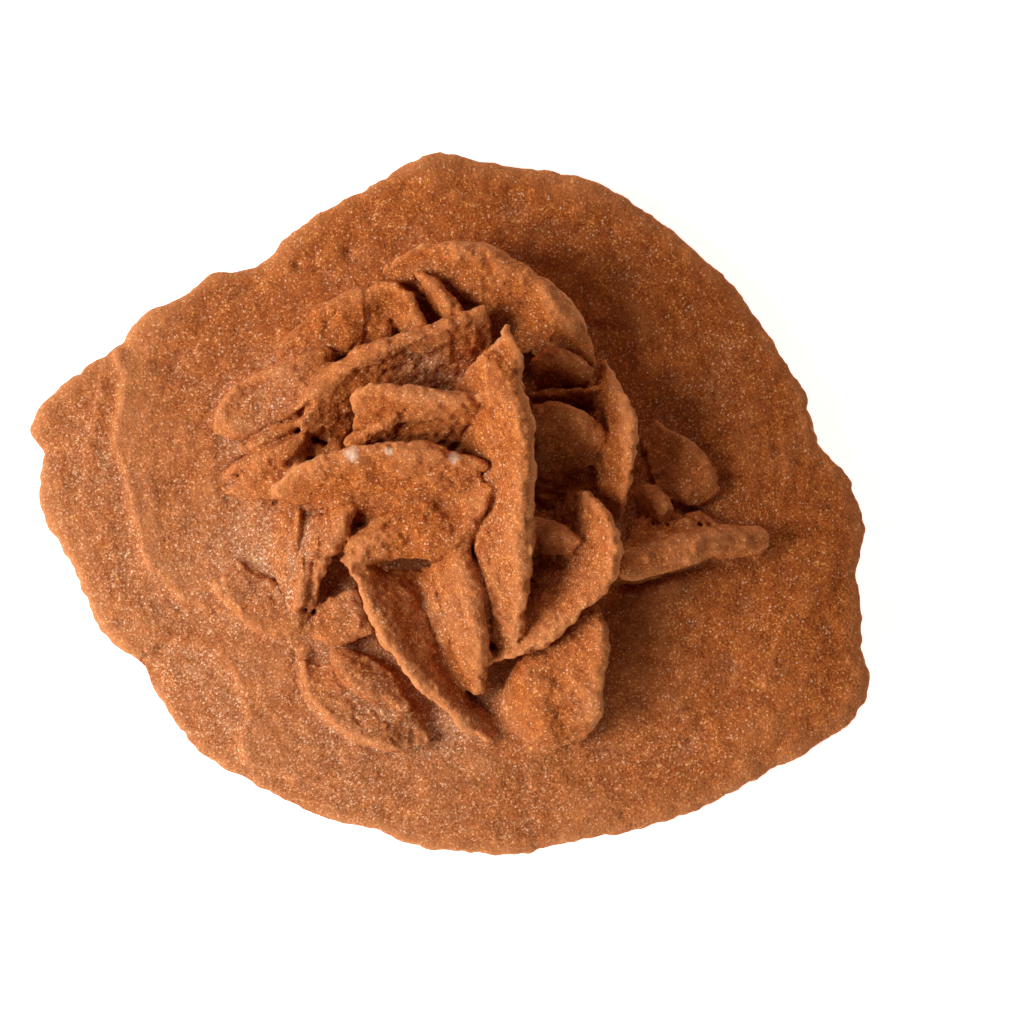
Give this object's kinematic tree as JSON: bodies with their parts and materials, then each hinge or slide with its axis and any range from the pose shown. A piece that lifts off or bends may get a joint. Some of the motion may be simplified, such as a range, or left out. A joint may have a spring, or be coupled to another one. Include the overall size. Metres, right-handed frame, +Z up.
{
  "type": "gypsum sand rose",
  "caption": "Desert rose: a broad round sand-gypsum crystal plate lying flat, with an off-centre rosette of intergrown blade crystals rising from its upper face",
  "frame": {"origin": "centre of the bounding box in plan, at the lowest point of the underside", "axes": "+Z up, the rosette on top; +X along the plate's longest extent; +Y along its width"},
  "size_m": [0.084, 0.0702, 0.0186],
  "materials": {
    "sand_gypsum": "matte, grainy reddish-orange sandstone with small glinting grains"
  },
  "bodies": {
    "root": {"base_disc": "sand_gypsum", "spine": "sand_gypsum", "arc_blade": "sand_gypsum", "south_west_blade": "sand_gypsum", "sickle_blade": "sand_gypsum", "north_crest": "sand_gypsum", "east_wall": "sand_gypsum", "north_ridge": "sand_gypsum", "roof_plate": "sand_gypsum", "spine_peak": "sand_gypsum", "south_wedge": "sand_gypsum", "south_fan": "sand_gypsum", "arc_curl": "sand_gypsum", "v_rim": "sand_gypsum", "arc_rib": "sand_gypsum", "north_leaf_west": "sand_gypsum", "north_leaf_east": "sand_gypsum", "roof_chip": "sand_gypsum", "west_wedge": "sand_gypsum", "west_strip": "sand_gypsum", "north_west_lobe": "sand_gypsum", "north_west_petal_high": "sand_gypsum", "north_west_petal_mid": "sand_gypsum", "north_west_petal_low": "sand_gypsum", "east_shelf": "sand_gypsum", "east_dome": "sand_gypsum", "east_ledge": "sand_gypsum", "sickle_spur": "sand_gypsum", "west_fin": "sand_gypsum", "west_strut": "sand_gypsum", "south_petal": "sand_gypsum", "west_petal": "sand_gypsum", "south_west_petal_outer": "sand_gypsum", "south_west_petal_inner": "sand_gypsum", "east_lens": "sand_gypsum", "north_east_petal": "sand_gypsum", "east_spur": "sand_gypsum", "east_spur_upper": "sand_gypsum"}
  },
  "joints": []
}
